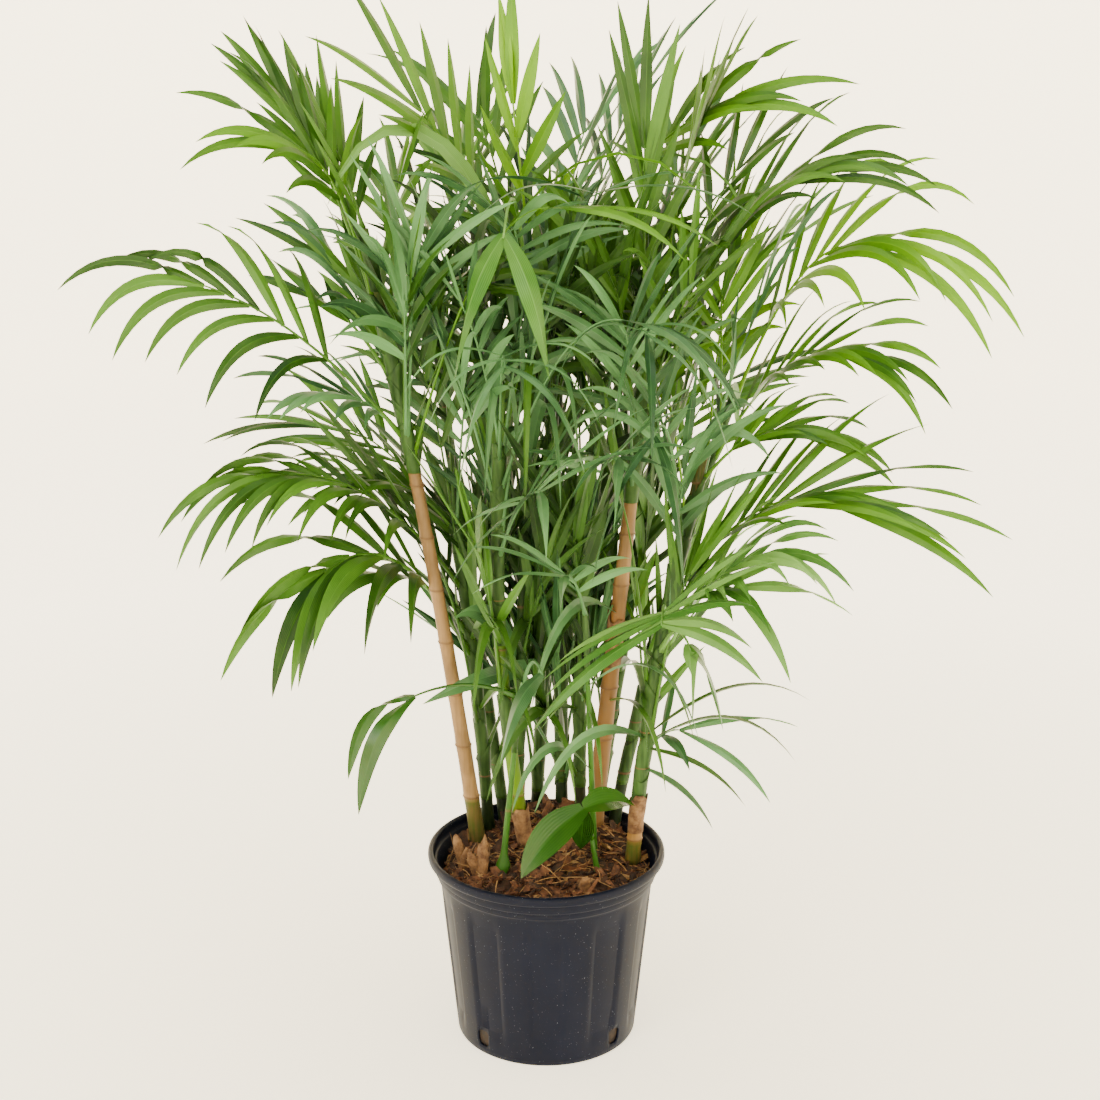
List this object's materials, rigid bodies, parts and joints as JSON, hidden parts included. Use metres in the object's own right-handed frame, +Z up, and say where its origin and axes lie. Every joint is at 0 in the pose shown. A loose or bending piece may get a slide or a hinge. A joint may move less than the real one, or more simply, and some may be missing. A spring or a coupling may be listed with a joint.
{
  "type": "potted bamboo palm",
  "caption": "Clump of slender ringed canes with arching feathered fronds, standing in a round tapered nursery pot filled with bark mix.",
  "frame": {"origin": "centre of the flat underside of the pot, on the surface it stands on", "axes": "+Z up, -Y towards the plant's front as the picture shows it, +X to the right in that view"},
  "size_m": [0.8795, 0.7041, 1.0755],
  "materials": {
    "bark_mix": "shredded reddish-brown bark",
    "cane_bright": "smooth ringed cane",
    "cane_green": "smooth ringed cane",
    "cane_light": "smooth ringed cane",
    "cane_olive": "smooth ringed cane",
    "cane_tan": "smooth ringed cane",
    "leaf_green": "soft gloss leaf",
    "pot_plastic": "charcoal matte plastic with fine pale specks"
  },
  "bodies": {
    "root": {"cane_back_left": "cane_green", "cane_back_low": "cane_green", "cane_back_mid": "cane_green", "cane_back_right": "cane_green", "cane_bright_green": "cane_bright", "cane_dark_green": "cane_green", "cane_left_tan": "cane_tan", "cane_olive": "cane_olive", "cane_right_green": "cane_light", "cane_right_tan": "cane_tan", "cane_ringed_green": "cane_green", "cane_slim_green": "cane_green", "cane_sprout": "cane_green", "cane_thin_green": "cane_green", "cane_young_shoot": "cane_green", "frond_back_left_1": "leaf_green", "frond_back_left_2": "leaf_green", "frond_back_left_3": "leaf_green", "frond_back_low_1": "leaf_green", "frond_back_low_2": "leaf_green", "frond_back_low_3": "leaf_green", "frond_back_mid_1": "leaf_green", "frond_back_mid_2": "leaf_green", "frond_back_mid_3": "leaf_green", "frond_back_right_1": "leaf_green", "frond_back_right_2": "leaf_green", "frond_back_right_3": "leaf_green", "frond_bright_green_1": "leaf_green", "frond_bright_green_2": "leaf_green", "frond_dark_green_1": "leaf_green", "frond_dark_green_2": "leaf_green", "frond_dark_green_3": "leaf_green", "frond_left_tan_1": "leaf_green", "frond_left_tan_2": "leaf_green", "frond_left_tan_3": "leaf_green", "frond_left_tan_4": "leaf_green", "frond_left_tan_5": "leaf_green", "frond_olive_1": "leaf_green", "frond_olive_2": "leaf_green", "frond_right_green_1": "leaf_green", "frond_right_green_2": "leaf_green", "frond_right_green_3": "leaf_green", "frond_right_green_4": "leaf_green", "frond_right_green_5": "leaf_green", "frond_right_tan_1": "leaf_green", "frond_right_tan_2": "leaf_green", "frond_right_tan_3": "leaf_green", "frond_right_tan_4": "leaf_green", "frond_right_tan_5": "leaf_green", "frond_ringed_green_1": "leaf_green", "frond_ringed_green_2": "leaf_green", "frond_ringed_green_3": "leaf_green", "frond_slim_green_1": "leaf_green", "frond_slim_green_2": "leaf_green", "frond_slim_green_3": "leaf_green", "frond_sprout_1": "leaf_green", "frond_thin_green_1": "leaf_green", "frond_young_shoot_1": "leaf_green", "growing_mix": "bark_mix", "pot": "pot_plastic"}
  },
  "joints": []
}
